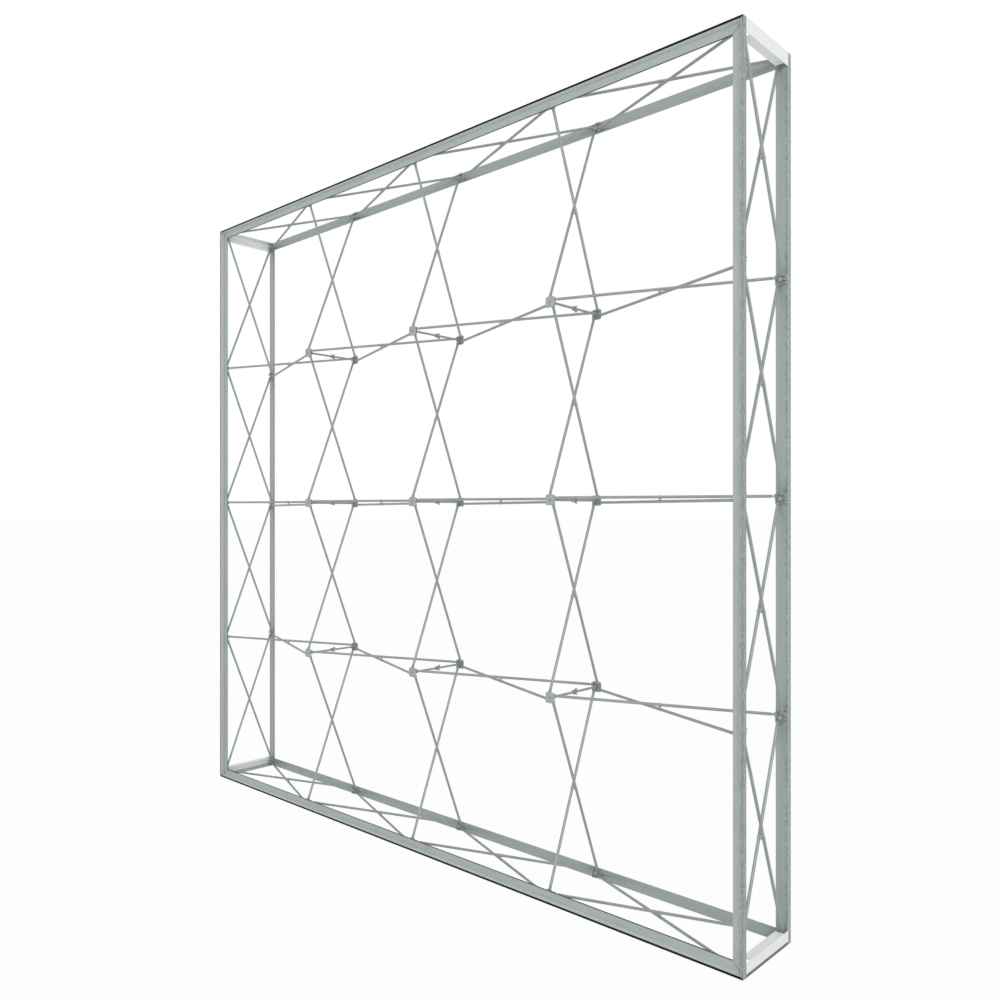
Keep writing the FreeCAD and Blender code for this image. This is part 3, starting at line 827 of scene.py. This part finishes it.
def rail_section():
    """Outline of a rail: inward from its outer edge, and back from its face."""
    e = RAIL_EDGE
    wall = RAIL_LIP + GROOVE_WIDTH
    inner = wall + GROOVE_WALL
    return [(e / 2, 0), (RAIL_LIP - e / 2, 0), (RAIL_LIP, e / 2), (RAIL_LIP, FLANGE_FRONT),
            (wall, FLANGE_FRONT), (wall, e), (wall + e, 0), (inner - e, 0), (inner, e),
            (inner, FLANGE_FRONT - 2 * e), (inner + e / 2, FLANGE_FRONT - e / 2),
            (inner + 2 * e, FLANGE_FRONT), (FLANGE_WIDTH - e, FLANGE_FRONT),
            (FLANGE_WIDTH, FLANGE_FRONT + e), (FLANGE_WIDTH, RAIL_DEPTH - e),
            (FLANGE_WIDTH - e, RAIL_DEPTH), (e, RAIL_DEPTH), (0, RAIL_DEPTH - e), (0, e / 2)]


def rail_bar(name, length):
    """A rail along X with mitred ends: Y runs inward from its outer edge and Z back from its face."""
    section = rail_section()
    loops = []
    for step in range(RAIL_SECTIONS + 1):
        loop = []
        for u, v in section:
            start = MITRE_HALF_GAP + u
            loop.append((start + (length - 2 * start) * step / RAIL_SECTIONS, u, v))
        loops.append(loop)
    bm = bmesh.new()
    skin(bm, loops, "capped")
    return template(bm, name)


def rail_place(side, edge):
    """Where a rail's own axes go: along it, inward from its outer edge, and back from its face."""
    back = Y_AXIS * -side
    inward = {"top": -Z_AXIS, "bottom": Z_AXIS, "left": X_AXIS, "right": -X_AXIS}[edge]
    along = inward.cross(back)
    corner = Vector((0, side * DEPTH / 2, HEIGHT / 2))
    corner -= inward * (WIDTH / 2 if edge in ("left", "right") else HEIGHT / 2)
    corner -= along * (HEIGHT / 2 if edge in ("left", "right") else WIDTH / 2)
    turn = Matrix((along, inward, back)).transposed().to_4x4()
    return Matrix.Translation(corner) @ turn


def retoned(material, under, across, depth, tone):
    """The colour under, with a rail between two sizes across and two in depth in another tone."""
    axes = axes_of(material, place_along(material))
    inside = []
    for axis, (low, high) in (("Y", across), ("Z", depth)):
        inside.append(arithmetic(material, "COMPARE", axes[axis], (low + high) / 2, (high - low) / 2))
    return toned(material, arithmetic(material, "MULTIPLY", *inside), under, tone)


def seamed(material, under, length, tone):
    """The colour under, with a thin line of sealant in another tone along both mitred ends of a rail."""
    axes = axes_of(material, place_along(material))
    reach = arithmetic(material, "ABSOLUTE", arithmetic(material, "SUBTRACT", axes["X"], length / 2))
    slant = arithmetic(material, "ADD", reach, axes["Y"])
    near = arithmetic(material, "GREATER_THAN", slant, length / 2 - SEAM_WIDTH)
    return toned(material, near, under, tone)


def grip_pattern(material, tones):
    """A rolled grip pattern: rows of short dashes in two greys along the rail, with dark lines between."""
    axes = axes_of(material, place_along(material))
    across = arithmetic(material, "ADD", axes["Y"], axes["Z"])
    flat = add_node(material, "ShaderNodeCombineXYZ", {"X": axes["X"], "Y": across})
    dashes = add_node(material, "ShaderNodeTexBrick", {
        "Vector": flat.outputs[0], "Mortar": tones[0], "Color1": tones[1], "Color2": tones[2],
        "Scale": 1 / DASH_LENGTH, "Brick Width": 1, "Row Height": DASH_WIDTH / DASH_LENGTH,
        "Mortar Size": DASH_LINE / DASH_LENGTH, "Mortar Smooth": 0.6})
    return dashes.outputs["Color"]


def rail_aluminium(name, is_level, edge_painted_shade, edge_lap, side_painted_tone):
    """Satin aluminium for a rail, with painted light and shade on its back, groove, wall, inner edge and
    side.
    """
    material = satin_aluminium(name, RAIL_GREY, metallic=0.4, gloss=(0.42, 0.54), draw_lines=260)
    shader = material.node_tree.nodes["Principled BSDF"]
    colour = shader.inputs["Base Color"].links[0].from_socket
    groove_end = RAIL_LIP + GROOVE_WIDTH
    wall_end = groove_end + GROOVE_WALL
    over = TINT_EDGE
    wall_side = (wall_end - over, wall_end + over)
    # Painted light: the inner side of the wall is coloured paler than the rest of the rail.
    wall_painted_light = LEVEL_WALL_PAINTED_LIGHT if is_level else UPRIGHT_WALL_PAINTED_LIGHT
    colour = retoned(material, colour, wall_side, (-over, FLANGE_FRONT), wall_painted_light)
    # Painted shade: the back face of every rail is coloured darker than its front.
    back = (RAIL_DEPTH - over, RAIL_DEPTH + over)
    colour = retoned(material, colour, (-over, FLANGE_WIDTH + over), back, RAIL_PAINTED_SHADE)
    if is_level:
        colour = seamed(material, colour, WIDTH, SEAM_GREY)
        # Painted shade: the groove of a level rail, and 3 mm of the wall beside it, coloured near black.
        lapped = (over, groove_end + GROOVE_SHADE_LAP)
        colour = retoned(material, colour, lapped, (-over, FLANGE_FRONT + over), LEVEL_GROOVE_PAINTED_SHADE)
    else:
        grip = grip_pattern(material, GRIP_GREY)
        colour = retoned(material, colour, (-over, wall_end - over), (-over, RAIL_DEPTH + over), grip)
        # Painted light: the inside of an upright rail's groove is coloured near white, against its shade.
        groove = (RAIL_LIP - over, groove_end + over)
        colour = retoned(material, colour, groove, (RAIL_EDGE, FLANGE_FRONT + over), UPRIGHT_GROOVE_PAINTED_LIGHT)
        # Painted shade: a dark band along the inside of the lip, 2.4 mm deep from the face.
        lip_inside = (RAIL_LIP - over, RAIL_LIP + over)
        colour = retoned(material, colour, lip_inside, (-over, LIP_LINE), LIP_PAINTED_SHADE)
    # Painted light and shade: the outer side face gets its own lighter or darker tone for each rail.
    side = (FLANGE_FRONT, RAIL_DEPTH - over)
    colour = retoned(material, colour, (-over, over), side, side_painted_tone)
    # Painted shade: the inner edge of the flange is coloured darker.
    inner_edge = (FLANGE_WIDTH - edge_lap, FLANGE_WIDTH + over)
    colour = retoned(material, colour, inner_edge, (FLANGE_FRONT - over, RAIL_DEPTH - over), edge_painted_shade)
    material.node_tree.links.new(colour, shader.inputs["Base Color"])
    return material


front_level = rail_aluminium("front_level_rail", is_level=True, edge_painted_shade=FRONT_EDGE_PAINTED_SHADE, edge_lap=EDGE_LAP,
                             side_painted_tone=RAIL_PAINTED_SHADE)
rear_level = rail_aluminium("rear_level_rail", is_level=True, edge_painted_shade=RAIL_PAINTED_SHADE, edge_lap=TINT_EDGE,
                            side_painted_tone=RAIL_PAINTED_SHADE)
front_upright = rail_aluminium("front_upright_rail", is_level=False, edge_painted_shade=UPRIGHT_EDGE_PAINTED_SHADE,
                               edge_lap=TINT_EDGE, side_painted_tone=FRONT_SIDE_PAINTED_SHADE)
rear_upright = rail_aluminium("rear_upright_rail", is_level=False, edge_painted_shade=UPRIGHT_EDGE_PAINTED_SHADE,
                              edge_lap=TINT_EDGE, side_painted_tone=REAR_SIDE_PAINTED_LIGHT)
RAIL_FINISH = {("front", True): front_level, ("rear", True): rear_level,
               ("front", False): front_upright, ("rear", False): rear_upright}
level_rail = rail_bar("level_rail", WIDTH)
upright_rail = rail_bar("upright_rail", HEIGHT)
for side_name, side in SIDES.items():
    for edge in ("top", "bottom", "left", "right"):
        is_level = edge in ("top", "bottom")
        bar = level_rail if is_level else upright_rail
        finish = RAIL_FINISH[side_name, is_level]
        node = f"{side_name}_{edge}_rail"
        set_out(node + "_extruded", [(bar, rail_place(side, edge))], finish, f"{side_name}_{edge}",
                [node])

# Rail pegs
# Three zinc plated pegs in each rail plug into the bores of its hubs and hold it on. Each is a turned
# pin with a countersunk head, pressed into the flange from the front.
PEG_RADIUS = 2.9 * MM
PEG_HEAD_RADIUS = 4.7 * MM
PEG_HEAD = 1.6 * MM
PEG_PROUD = 0.2 * MM
PEG_SOCKET = 1.5 * MM
PEG_REACH = 9 * MM


def rail_peg():
    """A peg along X from the front of the flange, with a round socket in its head and an eased end."""
    shank = RAIL_DEPTH - FLANGE_FRONT
    end = shank + PEG_REACH
    profile = [(PEG_SOCKET, PEG_HEAD / 2), (PEG_SOCKET, -PEG_PROUD),
               (PEG_HEAD_RADIUS - PEG_PROUD, -PEG_PROUD), (PEG_HEAD_RADIUS, 0), (PEG_RADIUS, PEG_HEAD),
               (PEG_RADIUS, end - 2 * RAIL_EDGE), (PEG_RADIUS - 2 * RAIL_EDGE, end)]
    bm = bmesh.new()
    skin(bm, turned(profile, ROUND_SIDES), "capped")
    return template(bm, "rail_peg")


peg = rail_peg()
for side_name, side in SIDES.items():
    for edge in ("top", "bottom", "left", "right"):
        places = []
        for step in range(1, BAYS):
            seat = rail_place(side, edge) @ Vector((FIRST_ROW + step * BAY, FIRST_ROW, FLANGE_FRONT))
            places.append((peg, laid(seat, Y_AXIS * -side, Z_AXIS)))
        node = f"{side_name}_{edge}_rail_pegs"
        set_out(node + "_turned", places, zinc_steel, f"{side_name}_{edge}", [node])

# Floor and light
# The wall stands on a plain white floor that runs out of view. The sky is an even white, a broad soft
# lamp stands to the front right and above, and a weaker one fills from the front left.
FLOOR_SIZE = 400.0
SKY_LIGHT = 0.62
FLOOR_GLOW = 0.96
FLOOR_WHITE = (0.92, 0.92, 0.92, 1)
SKY_WHITE = (1, 1, 1, 1)
LAMP_AIM = (0, 0, 1.5)

scene = bpy.context.scene
scene.view_settings.view_transform = "Standard"


def seen_share(owner):
    """1 where a ray shows the stage itself, straight on, in a reflection or through glass, and else 0."""
    path = add_node(owner, "ShaderNodeLightPath", {}).outputs
    straight = arithmetic(owner, "MAXIMUM", path["Is Camera Ray"], path["Is Glossy Ray"])
    return arithmetic(owner, "MAXIMUM", straight, path["Is Transmission Ray"])


def floor():
    """A white floor that keeps the shadow, and shows near white to the camera and in reflections."""
    bm = bmesh.new()
    bmesh.ops.create_grid(bm, x_segments=2, y_segments=2, size=FLOOR_SIZE / 2)
    mesh = bpy.data.meshes.new("floor")
    bm.to_mesh(mesh)
    bm.free()
    material = new_material("floor_white")
    tree = material.node_tree
    tree.nodes.remove(tree.nodes["Principled BSDF"])
    share = arithmetic(material, "MULTIPLY", seen_share(material), FLOOR_GLOW)
    matt = add_node(material, "ShaderNodeBsdfDiffuse", {"Color": FLOOR_WHITE})
    glow = add_node(material, "ShaderNodeEmission", {"Color": SKY_WHITE, "Strength": 1})
    mix = add_node(material, "ShaderNodeMixShader", {0: share, 1: matt.outputs[0], 2: glow.outputs[0]})
    tree.links.new(mix.outputs[0], tree.nodes["Material Output"].inputs["Surface"])
    mesh.materials.append(material)
    ground = bpy.data.objects.new("floor", mesh)
    scene.collection.objects.link(ground)


def sky():
    """An even white sky: full white where it is seen, and softer where it lights the object."""
    world = bpy.data.worlds.new("white_sky")
    world.use_nodes = True
    scene.world = world
    back = world.node_tree.nodes["Background"]
    back.inputs["Color"].default_value = SKY_WHITE
    level = spread(world, seen_share(world), to_min=SKY_LIGHT, to_max=1)
    world.node_tree.links.new(level, back.inputs["Strength"])


def lamp(name, place, size, power):
    """A broad soft lamp at a place, turned towards the middle of the wall."""
    light = bpy.data.lights.new(name, "AREA")
    light.shape = "SQUARE"
    light.size = size
    light.energy = power
    stand = bpy.data.objects.new(name, light)
    stand.location = place
    stand.rotation_euler = (Vector(LAMP_AIM) - Vector(place)).to_track_quat("-Z", "Y").to_euler()
    scene.collection.objects.link(stand)


floor()
sky()
lamp("front_right_lamp", place=(7.5, -6.5, 3.8), size=4.0, power=250)
lamp("front_left_lamp", place=(-7.0, -9.0, 4.0), size=5.0, power=40)

# Camera
# It stands level at about mid height of the wall, to the right of it, and looks along its face.
FOCAL_LENGTH = 32.01
SENSOR_WIDTH = 36
SHIFT_RIGHT = 0.0816
SHIFT_UP = 0.01225
CAMERA_PLACE = (2.7505, -2.812, 1.4465)
CAMERA_LOOK = Vector((-0.7143, 0.7003, 0))

view = bpy.data.cameras.new("photograph")
view.lens = FOCAL_LENGTH
view.sensor_width = SENSOR_WIDTH
view.shift_x = SHIFT_RIGHT
view.shift_y = SHIFT_UP
camera = bpy.data.objects.new("photograph", view)
camera.location = CAMERA_PLACE
camera.rotation_euler = CAMERA_LOOK.to_track_quat("-Z", "Y").to_euler()
scene.collection.objects.link(camera)
scene.camera = camera
